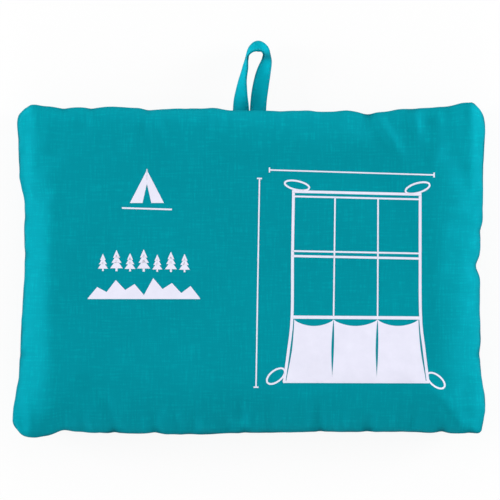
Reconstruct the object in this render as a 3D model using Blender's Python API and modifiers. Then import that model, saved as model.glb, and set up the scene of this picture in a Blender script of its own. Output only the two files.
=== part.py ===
"""A hanging camp organizer, folded up inside its own zipped pouch.

Metres, +Z up. The pouch lies on its back panel with its front panel up. X runs along the pouch, and the
hang loop points to +Y. The origin is on the flat underside, below the middle of the pouch.
"""

import math

import bmesh
import bpy
from mathutils import Matrix, Vector

MM = 0.001

# The organizer sheet, laid out flat. Down is measured from its top edge, across from its left edge.
SHEET_HEIGHT = 900 * MM
SHEET_WIDTH = 600 * MM
CLOTH = 0.6 * MM
SEWN_GAP = 0.3 * MM
LAYER_LOFT = 0.8 * MM
EDGE_MARGIN = 2 * MM
BINDING_WIDTH = 10 * MM
TOP_BAND_HEIGHT = 16 * MM
HEM_HEIGHT = 14 * MM
FOOT_TAPE_HEIGHT = 10 * MM
UPPER_POCKET_HEIGHT = 246 * MM
BETWEEN_POCKETS = 34 * MM
MIDDLE_POCKET_HEIGHT = 278 * MM
LOWER_POCKET_HEIGHT = 226 * MM
POCKET_SCOOP = 26 * MM
COLUMN_MARGIN = 5 * MM
CORNER_LOOP_LENGTH = 36 * MM
CORNER_LOOP_WIDTH = 10 * MM
CORNER_LOOP_CLOTH = 0.4 * MM

# The pouch, a pillow of two panels round the folded sheet
WALL = 1.2 * MM
REST_GAP = 0.3 * MM
END_EASE = 3.8 * MM
SIDE_EASE = 9 * MM
HEAD_ROOM = 9.3 * MM
SEAM_LEVEL = 19 * MM
SEAM_GAP = 0.3 * MM
EAR_LENGTH = 8 * MM
EAR_HEIGHT = 6 * MM
CORNER_TRIM = 2.6 * MM
CROWN_DROP = 3 * MM
FRONT_END_SHOULDER = 27 * MM
FRONT_SIDE_SHOULDER = 24 * MM
BACK_SHOULDER = 9 * MM
PINCH_DEPTH = 2.4 * MM
PINCH_PLACE = 6 * MM
PINCH_WIDTH = 12 * MM

# The zip in the top seam
ZIP_INSET = 3.7 * MM
ZIP_LIFT = 6 * MM
ZIP_END_MARGIN = 6 * MM
ZIP_BLEND = 5 * MM
TAPE = 0.6 * MM
TAPE_HEIGHT = 9 * MM
COIL_HEIGHT = 1.5 * MM
COIL_DEPTH = 1.6 * MM
COIL_SLIT = 1.2 * MM
COIL_ROUNDING = 0.4 * MM
STOP_LENGTH = 2.2 * MM
STOP_ROUNDING = 0.3 * MM
STOP_GAP = 0.4 * MM
SLIDER_LENGTH = 10 * MM
SLIDER_WIDTH = 7 * MM
SLIDER_PLATE = 1.3 * MM
SLIDER_PLAY = 0.35 * MM
SLIDER_RIM = 0.7 * MM
SLIDER_RIM_DEPTH = 1.1 * MM
SLIDER_POST_LENGTH = 5 * MM
SLIDER_POST = 0.6 * MM
PIN_RADIUS = 0.45 * MM
PIN_CLEARANCE = 0.3 * MM
EYE_WALL = 0.5 * MM
EYE_RADIUS = PIN_RADIUS + PIN_CLEARANCE + EYE_WALL
LUG = 0.8 * MM
LUG_LENGTH = 3 * MM
TAB_LENGTH = 21 * MM
TAB_WIDTH = 5.2 * MM
TAB_NECK_WIDTH = 3.2 * MM
TAB_NECK_LENGTH = 4 * MM
TAB_THICKNESS = 1.1 * MM
BOTTOM_STOP_FROM_END = 19 * MM

# The hang loop, a flat tape whose two ends are sewn side by side
LOOP_TAPE_WIDTH = 10.5 * MM
LOOP_TAPE = 0.9 * MM
LOOP_REACH = 48 * MM
LOOP_TUCK = 1.1 * MM
LOOP_BELOW_SEAM = 7 * MM
LOOP_FLAT = 90  # the turn, in degrees, at which the tape lies flat along the seam

# How the rims and the zip's ends run from one shape to the next, as powers and shares of a half side
EAR_POWER = 6
TRIM_POWER = 12
PINCH_POWER = 30
LIFT_START = 0.3
LIFT_END = 0.9

# How finely round shapes are divided
FLAT_SHARE = 0.5
FRONT_GRID = 20
BACK_GRID = 20
NARROW_BEND_STEPS = 4
WIDE_BEND_STEPS = 8
SCOOP_STEPS = 8
HAIRPIN_STEPS = 4
PIN_SIDES = 12
EYE_SIDES = 16
SHARP_ANGLE = math.radians(40)

# Each finish: its sRGB colour, roughness and metallic value
FINISHES = {
    "pouch_polyester": ((0, 143, 160), 0.6, 0.0),
    "loop_polyester": ((0, 160, 176), 0.55, 0.0),
    "zip_tape": ((12, 96, 108), 0.7, 0.0),
    "coil_nylon": ((20, 24, 28), 0.4, 0.0),
    "cast_zinc": ((120, 122, 126), 0.35, 1.0),
    "sheet_polyester": ((38, 44, 54), 0.85, 0.0),
    "pocket_polyester": ((0, 138, 156), 0.8, 0.0),
    "binding_tape": ((18, 20, 24), 0.75, 0.0),
}

PART_NAME = "camping_organizer"
CUTTERS = "cutters"


def clear_scene():
    for thing in list(bpy.data.objects):
        bpy.data.objects.remove(thing, do_unlink=True)


def make_collection(name):
    collection = bpy.data.collections.new(name)
    bpy.context.scene.collection.children.link(collection)
    return collection


def material(name, finish):
    """An object's own material, in one of the finishes."""
    colour, roughness, metallic = FINISHES[finish]
    made = bpy.data.materials.new(f"{name}_{finish}")
    made.use_nodes = True
    shader = made.node_tree.nodes["Principled BSDF"]
    linear = [((value / 255 + 0.055) / 1.055) ** 2.4 for value in colour]
    shader.inputs["Base Color"].default_value = (*linear, 1)
    shader.inputs["Roughness"].default_value = roughness
    shader.inputs["Metallic"].default_value = metallic
    return made


def add_mesh(name, shape, collection, finish, smooth=True):
    """Turns a bmesh into a named object with its own material."""
    mesh = bpy.data.meshes.new(name)
    shape.to_mesh(mesh)
    shape.free()
    if smooth:
        mesh.shade_smooth()
        mesh.set_sharp_from_angle(angle=SHARP_ANGLE)
    placed = bpy.data.objects.new(name, mesh)
    placed.data.materials.append(material(name, finish))
    collection.objects.link(placed)
    return placed


def box_between(low, high):
    """A block from its lowest corner to its highest."""
    shape = bmesh.new()
    bmesh.ops.create_cube(shape, size=1)
    low = Vector(low)
    high = Vector(high)
    bmesh.ops.scale(shape, vec=high - low, verts=shape.verts)
    bmesh.ops.translate(shape, vec=(low + high) / 2, verts=shape.verts)
    return shape


def slice_across(shape, places, axis):
    """Cuts every face where it crosses a place along one axis."""
    normal = Vector((0, 0, 0))
    normal[axis] = 1
    low = min(vert.co[axis] for vert in shape.verts)
    high = max(vert.co[axis] for vert in shape.verts)
    for place in places:
        if low < place < high:
            everything = shape.verts[:] + shape.edges[:] + shape.faces[:]
            bmesh.ops.bisect_plane(shape, geom=everything, plane_co=normal * place, plane_no=normal)


# How the sheet is folded: in three across its width, then in three along its height.


class Fold:
    """A strip folded in three, first over its face and then over its back."""

    def __init__(self, length, face, back, steps):
        self.face_bend = face + LAYER_LOFT / 2
        self.back_bend = back + LAYER_LOFT / 2
        bends = math.pi * (self.face_bend + self.back_bend)
        self.leaf = (length - bends) / 3
        self.steps = steps
        self.first = self.leaf
        self.second = self.first + math.pi * self.face_bend
        self.third = self.second + self.leaf
        self.fourth = self.third + math.pi * self.back_bend
        self.top = 2 * (self.face_bend + self.back_bend) + face
        self.bulge = max(self.face_bend + back, self.back_bend + face)

    def lines(self):
        """Where the cloth is divided so that it can bend."""
        for start, bend in ((self.first, self.face_bend), (self.third, self.back_bend)):
            for step in range(self.steps + 1):
                yield start + math.pi * bend * step / self.steps

    def place(self, along, height):
        """Where a point of the flat strip lies once it is folded."""
        if along <= self.first:
            return along, height
        if along < self.second:
            angle = (along - self.first) / self.face_bend
            reach = self.face_bend - height
            return self.leaf + reach * math.sin(angle), self.face_bend - reach * math.cos(angle)
        if along <= self.third:
            return self.leaf - (along - self.second), 2 * self.face_bend - height
        level = 2 * self.face_bend + self.back_bend
        if along < self.fourth:
            angle = (along - self.third) / self.back_bend
            reach = self.back_bend + height
            return -reach * math.sin(angle), level - reach * math.cos(angle)
        return along - self.fourth, level + self.back_bend + height


CLOTH_FACE = CLOTH / 2 + 2 * (SEWN_GAP + CLOTH)
ACROSS = Fold(SHEET_WIDTH, CLOTH_FACE, CLOTH / 2, NARROW_BEND_STEPS)
DOWN = Fold(SHEET_HEIGHT, ACROSS.top, CLOTH / 2, WIDE_BEND_STEPS)

STACK_HALF_LENGTH = DOWN.leaf / 2 + DOWN.bulge
STACK_HALF_WIDTH = ACROSS.leaf / 2 + ACROSS.bulge
STACK_BASE = WALL + REST_GAP + CLOTH / 2
STACK_TOP = STACK_BASE + DOWN.top

# Inner sizes of the pouch, and the levels of its rims
HALF_LENGTH = STACK_HALF_LENGTH + END_EASE
HALF_HEIGHT = STACK_HALF_WIDTH + SIDE_EASE
CROWN_LEVEL = STACK_TOP + HEAD_ROOM
ZIP_HALF_LENGTH = HALF_LENGTH - ZIP_END_MARGIN
RIM_PLACE = HALF_HEIGHT - ZIP_INSET
TAPE_OUTER = RIM_PLACE - REST_GAP
COIL_INNER = TAPE_OUTER + REST_GAP
COIL_OUTER = COIL_INNER + COIL_DEPTH


def layer(number):
    """The lower and upper side of a layer of cloth, where 0 is the backing."""
    middle = number * (CLOTH + SEWN_GAP)
    return middle - CLOTH / 2, middle + CLOTH / 2


def fold_up(shape):
    """Folds flat cloth (x down the sheet, y across it, z off its back) into the pouch."""
    slice_across(shape, DOWN.lines(), 0)
    slice_across(shape, ACROSS.lines(), 1)
    for vert in shape.verts:
        y, height = ACROSS.place(vert.co.y, vert.co.z)
        x, z = DOWN.place(vert.co.x, height)
        vert.co = (x - DOWN.leaf / 2, y - ACROSS.leaf / 2, z + STACK_BASE)
    return shape


def flat_cloth(down, across, number):
    """A rectangle of cloth on one layer of the flat sheet."""
    low, high = layer(number)
    return box_between((down[0], across[0], low), (down[1], across[1], high))


def scooped_cloth(down, across, number, whole_strip):
    """A rectangle whose top edge, or both edges of a strip, dips in a shallow arc."""
    shape = flat_cloth(down, across, number)
    width = across[1] - across[0]
    slice_across(shape, [across[0] + width * step / SCOOP_STEPS for step in range(1, SCOOP_STEPS)], 1)
    middle = (down[0] + down[1]) / 2
    for vert in shape.verts:
        if whole_strip or vert.co.x < middle:
            share = 2 * (vert.co.y - across[0]) / width - 1
            vert.co.x += POCKET_SCOOP * (1 - share ** 2)
    return shape


def hairpin(down, across, opens_left):
    """A tape folded back on itself across the sheet, on the two layers over the backing."""
    thickness = CORNER_LOOP_CLOTH
    low = layer(1)[0]
    high = layer(2)[1]
    radius = (high - low) / 2
    near, far = (across[1], across[0]) if opens_left else across
    side = -1 if opens_left else 1
    bend = far - side * radius
    angles = [math.pi * step / HAIRPIN_STEPS - math.pi / 2 for step in range(HAIRPIN_STEPS + 1)]
    outline = [(near, low)]
    outline += [(bend + side * radius * math.cos(a), low + radius * (1 + math.sin(a))) for a in angles]
    outline += [(near, high), (near, high - thickness)]
    inner = radius - thickness
    outline += [(bend + side * inner * math.cos(a), low + radius + inner * math.sin(a))
                for a in reversed(angles)]
    outline += [(near, low + thickness)]
    shape = bmesh.new()
    face = shape.faces.new([shape.verts.new((down[0], y, z)) for y, z in outline])
    extruded = bmesh.ops.extrude_face_region(shape, geom=[face])["geom"]
    moved = [item for item in extruded if isinstance(item, bmesh.types.BMVert)]
    bmesh.ops.translate(shape, vec=(down[1] - down[0], 0, 0), verts=moved)
    bmesh.ops.triangulate(shape, faces=[item for item in shape.faces if len(item.verts) > 4])
    bmesh.ops.recalc_face_normals(shape, faces=shape.faces)
    return shape


def build_sheet(collection):
    cloth = "sheet_polyester"
    pocket = "pocket_polyester"
    trim = "binding_tape"

    inner_left = EDGE_MARGIN + BINDING_WIDTH + SEWN_GAP
    inner_right = SHEET_WIDTH - inner_left
    full_height = (EDGE_MARGIN, SHEET_HEIGHT - EDGE_MARGIN)
    loop_top = (EDGE_MARGIN, EDGE_MARGIN + CORNER_LOOP_WIDTH)
    band = (loop_top[1] + SEWN_GAP, loop_top[1] + SEWN_GAP + TOP_BAND_HEIGHT)
    upper = (band[1] + SEWN_GAP, band[1] + SEWN_GAP + UPPER_POCKET_HEIGHT)
    middle = (upper[1] + BETWEEN_POCKETS, upper[1] + BETWEEN_POCKETS + MIDDLE_POCKET_HEIGHT)
    loop_bottom = (SHEET_HEIGHT - loop_top[1], SHEET_HEIGHT - loop_top[0])
    foot = (loop_bottom[0] - SEWN_GAP - BINDING_WIDTH, loop_bottom[0] - SEWN_GAP)
    lower = (foot[0] - SEWN_GAP - LOWER_POCKET_HEIGHT, foot[0] - SEWN_GAP)

    def add(name, shape, finish):
        add_mesh(name, fold_up(shape), collection, finish, smooth=False)

    add("sheet_backing", flat_cloth((0, SHEET_HEIGHT), (0, SHEET_WIDTH), 0), cloth)
    inner = (inner_left, inner_right)
    add("sheet_top_band", flat_cloth(band, inner, 1), trim)
    left_edge = (EDGE_MARGIN, EDGE_MARGIN + BINDING_WIDTH)
    right_edge = (SHEET_WIDTH - left_edge[1], SHEET_WIDTH - left_edge[0])
    add("side_binding_left", flat_cloth(full_height, left_edge, 1), trim)
    add("side_binding_right", flat_cloth(full_height, right_edge, 1), trim)
    add("bottom_binding", flat_cloth(foot, inner, 1), trim)

    for row, (top, bottom) in (("upper", upper), ("middle", middle)):
        add(f"{row}_pocket_cloth", flat_cloth((top, bottom), inner, 1), pocket)
        add(f"{row}_pocket_hem", flat_cloth((top, top + HEM_HEIGHT), inner, 2), trim)
        add(f"{row}_pocket_foot_tape", flat_cloth((bottom - FOOT_TAPE_HEIGHT, bottom), inner, 2), trim)

    columns = {
        "left": (inner_left, ACROSS.first - COLUMN_MARGIN),
        "centre": (ACROSS.second + COLUMN_MARGIN, ACROSS.third - COLUMN_MARGIN),
        "right": (ACROSS.fourth + COLUMN_MARGIN, inner_right),
    }
    for side, across in columns.items():
        add(f"lower_pocket_{side}", scooped_cloth(lower, across, 1, False), pocket)
        hem = (lower[0], lower[0] + HEM_HEIGHT)
        add(f"lower_pocket_hem_{side}", scooped_cloth(hem, across, 2, True), trim)

    left = (inner_left, inner_left + CORNER_LOOP_LENGTH)
    right = (inner_right - CORNER_LOOP_LENGTH, inner_right)
    for level, down in (("top", loop_top), ("bottom", loop_bottom)):
        add(f"corner_loop_{level}_left", hairpin(down, left, True), trim)
        add(f"corner_loop_{level}_right", hairpin(down, right, False), trim)


# The pouch


def rounded_side(place, width, half):
    """Where a grid line lies, from -1 to 1, and how high the panel has risen there.

    Half of the lines divide the flat middle, and the others the shoulder, a quarter of an ellipse.
    """
    start = 1 - width / half
    if abs(place) <= FLAT_SHARE:
        return start * place / FLAT_SHARE, 1.0
    angle = (abs(place) - FLAT_SHARE) / (1 - FLAT_SHARE) * math.pi / 2
    return math.copysign(start + (1 - start) * math.sin(angle), place), math.cos(angle)


def smooth_step(low, high, value):
    share = min(1.0, max(0.0, (value - low) / (high - low)))
    return share * share * (3 - 2 * share)


def along_zip(x, end=ZIP_HALF_LENGTH):
    """1 where the zip runs, fading to 0 at the corner ears."""
    return 1 - smooth_step(end, end + ZIP_BLEND, abs(x))


def rim_point(across, up):
    """The place in plan of a panel point, where across and up run from -1 to 1."""
    x = across * (HALF_LENGTH + EAR_LENGTH * up ** EAR_POWER)
    y = up * (HALF_HEIGHT + EAR_HEIGHT * across ** EAR_POWER)
    if across > 0:
        x -= PINCH_DEPTH * across ** PINCH_POWER * math.exp(-((y - PINCH_PLACE) / PINCH_WIDTH) ** 2)
    trim = CORNER_TRIM * abs(across * up) ** TRIM_POWER
    x -= math.copysign(trim, across)
    y -= math.copysign(trim, up)
    return x, y


def pouch_panel(name, side, grid, shoulders, level, collection, finish):
    """A cloth panel drawn out of a grid, above the seam where side is 1 and below it where it is -1."""
    end_shoulder, side_shoulder = shoulders
    shape = bmesh.new()
    bmesh.ops.create_grid(shape, x_segments=grid, y_segments=grid, size=1)
    for vert in shape.verts:
        across, end_rise = rounded_side(vert.co.x, end_shoulder, HALF_LENGTH)
        up, side_rise = rounded_side(vert.co.y, side_shoulder, HALF_HEIGHT)
        x, y = rim_point(across, up)
        on_rim = round(vert.co.y, 3) == 1
        inset = ZIP_INSET * along_zip(x, ZIP_HALF_LENGTH - ZIP_BLEND) if on_rim else 0
        lift = ZIP_LIFT * along_zip(x) * smooth_step(LIFT_START, LIFT_END, up)
        rim = SEAM_LEVEL + side * (SEAM_GAP / 2 + lift)
        height = level - CROWN_DROP * (across ** 2 + up ** 2) / 2 if side > 0 else level
        vert.co = (x, y - inset, rim + (height - rim) * end_rise * side_rise)
    mesh = bpy.data.meshes.new(name)
    shape.to_mesh(mesh)
    shape.free()
    mesh.shade_smooth()
    panel = bpy.data.objects.new(name, mesh)
    panel.data.materials.append(material(name, finish))
    collection.objects.link(panel)
    wall = panel.modifiers.new("wall", "SOLIDIFY")
    wall.thickness = WALL
    wall.offset = 1
    return panel


def build_pouch(collection):
    pouch_panel("pouch_front_panel", 1, FRONT_GRID, (FRONT_END_SHOULDER, FRONT_SIDE_SHOULDER),
                CROWN_LEVEL, collection, "pouch_polyester")
    back = pouch_panel("pouch_back_panel", -1, BACK_GRID, (BACK_SHOULDER, BACK_SHOULDER),
                       WALL, collection, "pouch_polyester")
    back.data.flip_normals()


# The hang loop


def loop_path():
    """The middle of the tape from seam to seam, and its turn in degrees.

    Each row is a place across in tape widths, a share of the reach, and the turn.
    """
    reach = LOOP_REACH
    tape = LOOP_TAPE_WIDTH
    base = HALF_HEIGHT + WALL - LOOP_TUCK
    middle = (
        (-0.70 * tape, 0.00, LOOP_FLAT),
        (-0.70 * tape, 0.12, 88),
        (-0.60 * tape, 0.30, 68),
        (-0.46 * tape, 0.50, 42),
        (-0.33 * tape, 0.70, 26),
        (-0.24 * tape, 0.84, 12),
        (0.00 * tape, 0.925, 30),
        (0.45 * tape, 0.950, 50),
        (0.93 * tape, 0.880, 48),
        (1.10 * tape, 0.76, 46),
        (1.02 * tape, 0.58, 60),
        (0.84 * tape, 0.38, 78),
        (0.54 * tape, 0.14, 88),
        (0.50 * tape, 0.05, LOOP_FLAT),
        (0.50 * tape, 0.00, LOOP_FLAT),
    )
    return [(Vector((x, base + y * reach, 0)), math.radians(turn)) for x, y, turn in middle]


def build_loop(collection):
    level = SEAM_LEVEL - LOOP_BELOW_SEAM
    path = loop_path()
    count = len(path)
    shape = bmesh.new()
    left_edge = []
    right_edge = []
    for index, (point, turn) in enumerate(path):
        before = path[max(0, index - 1)][0]
        after = path[min(count - 1, index + 1)][0]
        ahead = (after - before).normalized()
        inward = Vector((ahead.y, -ahead.x, 0))
        side = inward * math.sin(turn) + Vector((0, 0, 1)) * math.cos(turn)
        side *= LOOP_TAPE_WIDTH / 2
        left_edge.append(shape.verts.new(point - side))
        right_edge.append(shape.verts.new(point + side))
    for index in range(count - 1):
        corners = (left_edge[index], left_edge[index + 1], right_edge[index + 1], right_edge[index])
        shape.faces.new(corners)
    loop = add_mesh("hang_loop", shape, collection, "loop_polyester")
    wall = loop.modifiers.new("wall", "SOLIDIFY")
    wall.thickness = LOOP_TAPE
    wall.offset = 0
    seam = bpy.data.objects.new("hang_loop_hinge", None)
    seam.location = (0, path[0][0].y, level)
    collection.objects.link(seam)
    loop.parent = seam
    loop.location = (0, -path[0][0].y, 0)


# The zip


def rounded_block(name, low, high, edge, collection, finish):
    """A block with its edges rounded."""
    block = add_mesh(name, box_between(low, high), collection, finish)
    if edge:
        rounding = block.modifiers.new("rounding", "BEVEL")
        rounding.width = edge
        rounding.segments = 2
    return block


def joined(target, others):
    """One mesh from blocks that run into each other."""
    for index, other in enumerate(others):
        union = target.modifiers.new(f"join_{index}", "BOOLEAN")
        union.operation = "UNION"
        union.object = other
    bpy.context.view_layer.update()
    depsgraph = bpy.context.evaluated_depsgraph_get()
    mesh = bpy.data.meshes.new_from_object(target.evaluated_get(depsgraph))
    target.modifiers.clear()
    target.data = mesh
    for other in others:
        bpy.data.objects.remove(other, do_unlink=True)
    return target


def build_zip(collection):
    metal = "cast_zinc"
    chain_start = ZIP_HALF_LENGTH - BOTTOM_STOP_FROM_END
    chain_end = ZIP_HALF_LENGTH - STOP_LENGTH - STOP_GAP
    for name, side in (("upper", 1), ("lower", -1)):
        coil_low = side * COIL_SLIT / 2
        coil_high = side * (COIL_SLIT / 2 + COIL_HEIGHT)
        tape_low = side * (COIL_SLIT / 2 + SLIDER_PLAY)
        tape_high = side * (COIL_SLIT / 2 + TAPE_HEIGHT)
        low, high = sorted((SEAM_LEVEL + tape_low, SEAM_LEVEL + tape_high))
        rounded_block(f"zip_tape_{name}", (-ZIP_HALF_LENGTH, TAPE_OUTER - TAPE, low),
                      (ZIP_HALF_LENGTH, TAPE_OUTER, high), 0, collection, "zip_tape")
        low, high = sorted((SEAM_LEVEL + coil_low, SEAM_LEVEL + coil_high))
        rounded_block(f"zip_coil_{name}", (-chain_start, COIL_INNER, low),
                      (chain_end, COIL_OUTER, high), COIL_ROUNDING, collection, "coil_nylon")
        rounded_block(f"zip_top_stop_{name}", (chain_end + STOP_GAP, COIL_INNER, low),
                      (chain_end + STOP_GAP + STOP_LENGTH, COIL_OUTER, high),
                      STOP_ROUNDING, collection, metal)
    stop_height = COIL_SLIT / 2 + COIL_HEIGHT
    rounded_block("zip_bottom_stop",
                  (-chain_start - STOP_GAP - STOP_LENGTH, COIL_INNER, SEAM_LEVEL - stop_height),
                  (-chain_start - STOP_GAP, COIL_OUTER, SEAM_LEVEL + stop_height),
                  STOP_ROUNDING, collection, metal)
    build_slider(collection, metal, chain_end)


def build_slider(collection, metal, chain_end):
    middle = chain_end - SLIDER_PLAY - SLIDER_LENGTH / 2
    left = middle - SLIDER_LENGTH / 2
    right = middle + SLIDER_LENGTH / 2
    outer_low = COIL_OUTER + SLIDER_PLAY
    outer_high = outer_low + SLIDER_PLATE
    inner_high = TAPE_OUTER - TAPE - SLIDER_PLAY
    inner_low = inner_high - SLIDER_PLATE
    half = SLIDER_WIDTH / 2
    low = SEAM_LEVEL - half
    high = SEAM_LEVEL + half

    body = rounded_block("zip_slider", (left, outer_low, low), (right, outer_high, high), 0,
                         collection, metal)
    extras = [("inner_plate", (left, inner_low, low), (right, inner_high, high))]
    post = SLIDER_POST / 2
    extras.append(("post", (middle - SLIDER_POST_LENGTH / 2, inner_high - SLIDER_PLAY, SEAM_LEVEL - post),
                   (middle + SLIDER_POST_LENGTH / 2, outer_low + SLIDER_PLAY, SEAM_LEVEL + post)))
    overlap = SLIDER_PLATE / 2
    rims = (("rim_low", low, low + SLIDER_RIM), ("rim_high", high - SLIDER_RIM, high))
    for name, start, end in rims:
        extras.append((name, (left, outer_low - SLIDER_RIM_DEPTH, start), (right, outer_low + overlap, end)))
    lug_inner = TAB_NECK_WIDTH / 2 + PIN_CLEARANCE
    pin_place = outer_high + PIN_CLEARANCE + EYE_RADIUS
    for name, side in (("lug_low", -1), ("lug_high", 1)):
        start, end = sorted((SEAM_LEVEL + side * lug_inner, SEAM_LEVEL + side * (lug_inner + LUG)))
        extras.append((name, (middle - LUG_LENGTH / 2, outer_high - overlap, start),
                       (middle + LUG_LENGTH / 2, pin_place + PIN_RADIUS + LUG / 2, end)))
    blocks = [rounded_block(name, low_corner, high_corner, 0, collection, metal)
              for name, low_corner, high_corner in extras]

    shape = bmesh.new()
    bmesh.ops.create_cone(shape, cap_ends=True, segments=PIN_SIDES, radius1=PIN_RADIUS, radius2=PIN_RADIUS,
                          depth=2 * lug_inner + LUG,
                          matrix=Matrix.Translation((middle, pin_place, SEAM_LEVEL)))
    blocks.append(add_mesh("pin", shape, collection, metal))
    joined(body, blocks)
    build_pull_tab(collection, metal, middle, pin_place)


def build_pull_tab(collection, metal, pin_x, pin_y):
    """A flat tab with an eye round the slider's pin, lying along the chain."""
    half = TAB_THICKNESS / 2
    eye = EYE_RADIUS - EYE_WALL
    neck = TAB_NECK_WIDTH / 2
    wide = TAB_WIDTH / 2
    hinge = bpy.data.objects.new("pull_tab_hinge", None)
    hinge.location = (pin_x, pin_y, SEAM_LEVEL)
    collection.objects.link(hinge)
    tab = rounded_block("zip_pull_tab", (-TAB_LENGTH, -half, -wide), (-TAB_NECK_LENGTH, half, wide), 0,
                        collection, metal)
    neck_block = rounded_block("neck", (-TAB_NECK_LENGTH - half, -half, -neck), (-eye, half, neck), 0,
                               collection, metal)
    shape = bmesh.new()
    bmesh.ops.create_cone(shape, cap_ends=True, segments=EYE_SIDES, radius1=EYE_RADIUS, radius2=EYE_RADIUS,
                          depth=TAB_NECK_WIDTH)
    ring = add_mesh("ring", shape, collection, metal)
    joined(tab, [neck_block, ring])

    shape = bmesh.new()
    bmesh.ops.create_cone(shape, cap_ends=True, segments=EYE_SIDES, radius1=eye, radius2=eye,
                          depth=2 * TAB_NECK_WIDTH)
    cutter = add_mesh("pull_tab_eye_cutter", shape, bpy.data.collections[CUTTERS], metal)
    cutter.hide_render = True
    cutter.display_type = "WIRE"
    cut = tab.modifiers.new("eye", "BOOLEAN")
    cut.operation = "DIFFERENCE"
    cut.object = cutter
    cutter.parent = hinge
    tab.parent = hinge


def main():
    clear_scene()
    collection = make_collection(PART_NAME)
    make_collection(CUTTERS)
    build_pouch(collection)
    build_loop(collection)
    build_zip(collection)
    build_sheet(collection)


main()
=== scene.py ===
import math

import bmesh
import bpy
from mathutils import Matrix, Vector, noise
from mathutils.bvhtree import BVHTree


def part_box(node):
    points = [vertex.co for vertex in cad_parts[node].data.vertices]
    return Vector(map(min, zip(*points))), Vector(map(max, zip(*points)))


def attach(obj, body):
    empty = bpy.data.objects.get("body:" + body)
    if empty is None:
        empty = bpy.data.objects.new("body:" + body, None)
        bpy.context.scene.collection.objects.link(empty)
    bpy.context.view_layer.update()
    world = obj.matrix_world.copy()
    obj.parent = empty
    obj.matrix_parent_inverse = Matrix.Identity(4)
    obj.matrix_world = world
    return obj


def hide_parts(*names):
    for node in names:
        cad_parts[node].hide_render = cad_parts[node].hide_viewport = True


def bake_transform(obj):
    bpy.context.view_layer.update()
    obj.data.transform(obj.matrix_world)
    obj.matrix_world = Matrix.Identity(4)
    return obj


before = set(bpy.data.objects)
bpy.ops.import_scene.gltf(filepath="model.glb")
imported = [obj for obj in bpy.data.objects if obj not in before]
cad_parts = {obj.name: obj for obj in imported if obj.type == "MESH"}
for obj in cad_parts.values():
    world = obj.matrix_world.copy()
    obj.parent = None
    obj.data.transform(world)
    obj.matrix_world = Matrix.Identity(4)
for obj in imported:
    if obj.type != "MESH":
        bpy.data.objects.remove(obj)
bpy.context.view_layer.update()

mm = 0.001
quarterTurn = math.pi / 2


# the photograph looks straight down on the pouch through a long lens
photo = {
    "metresPerPixel": 0.7 * mm,
    "width": 500,
    "middle": (251, 270.5),  # the pixel above the origin
    "distance": 2.6,
    "sensor": 36.0,
}


def photoPlace(px, py, level=0):
    # the place that the pixel shows at this height: what lies higher is nearer to the lens
    nearer = 1 - level / photo["distance"]
    half = photo["width"] / 2
    x = (half - photo["middle"][0] + (px - half) * nearer) * photo["metresPerPixel"]
    y = (photo["middle"][1] - half - (py - half) * nearer) * photo["metresPerPixel"]
    return x, y


def addObject(name, data):
    made = bpy.data.objects.new(name, data)
    bpy.context.scene.collection.objects.link(made)
    return made


def makeCamera():
    data = bpy.data.cameras.new("photoCamera")
    camera = addObject("photoCamera", data)
    x, y = photoPlace(photo["width"] / 2, photo["width"] / 2)
    camera.location = (x, y, photo["distance"])
    data.sensor_width = photo["sensor"]
    data.lens = photo["sensor"] * photo["distance"] / (photo["width"] * photo["metresPerPixel"])
    data.clip_end = 20
    bpy.context.scene.camera = camera


# materials

def linearColour(hexText):
    values = [int(hexText[i:i + 2], 16) / 255 for i in (1, 3, 5)]
    return [v / 12.92 if v <= 0.04045 else ((v + 0.055) / 1.055) ** 2.4 for v in values] + [1.0]


def feed(tree, node, inputs):
    # inputs are values, or the sockets that they come from
    for name, value in inputs.items():
        if isinstance(value, bpy.types.NodeSocket):
            tree.links.new(value, node.inputs[name])
        else:
            node.inputs[name].default_value = value


def addNode(tree, kind, settings=None, inputs=None):
    node = tree.nodes.new(kind)
    for name, value in (settings or {}).items():
        setattr(node, name, value)
    feed(tree, node, inputs or {})
    return node


def newMaterial(name):
    material = bpy.data.materials.new(name)
    material.use_nodes = True
    tree = material.node_tree
    return material, tree, tree.nodes["Principled BSDF"]


def bandScale(period):
    # a band wave repeats every 2 pi / 20 at scale 1
    return math.tau / 20 / period


def mixColour(tree, factor, low, high):
    mix = addNode(tree, "ShaderNodeMix", {"data_type": "RGBA"}, {0: factor, 6: low, 7: high})
    return mix.outputs[2]


def cloudyColour(tree, place, spec, detail, roughness):
    # soft patches of the material's dark and light colour, and the pattern behind them
    cloudy = addNode(tree, "ShaderNodeTexNoise", None,
                     {"Vector": place, "Scale": 1 / spec["cloud"], "Detail": detail, "Roughness": roughness})
    pattern = cloudy.outputs["Fac"]
    return mixColour(tree, pattern, linearColour(spec["dark"]), linearColour(spec["light"])), pattern


def threadNoise(tree, place, across, along):
    # slubs: noise drawn out along one thread direction
    stretched = addNode(tree, "ShaderNodeMapping", None,
                        {"Vector": place, "Scale": (1 / across, 1 / along, 1)})
    noiseNode = addNode(tree, "ShaderNodeTexNoise", None,
                        {"Vector": stretched.outputs[0], "Scale": 1.0, "Detail": 2.0, "Roughness": 0.6})
    return noiseNode.outputs["Fac"]


def crossedYarns(tree, place, spec):
    # a wave for each thread direction, multiplied: high where two yarns cross
    bands = [addNode(tree, "ShaderNodeTexWave", {"bands_direction": direction},
                     {"Vector": place, "Scale": bandScale(spec["yarn"]), "Distortion": spec["wander"],
                      "Detail": 1.0, "Detail Scale": spec["wanderScale"]}).outputs["Fac"]
             for direction in ("X", "Y")]
    crossed = addNode(tree, "ShaderNodeMath", {"operation": "MULTIPLY"}, {0: bands[0], 1: bands[1]})
    return crossed.outputs[0]


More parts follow.
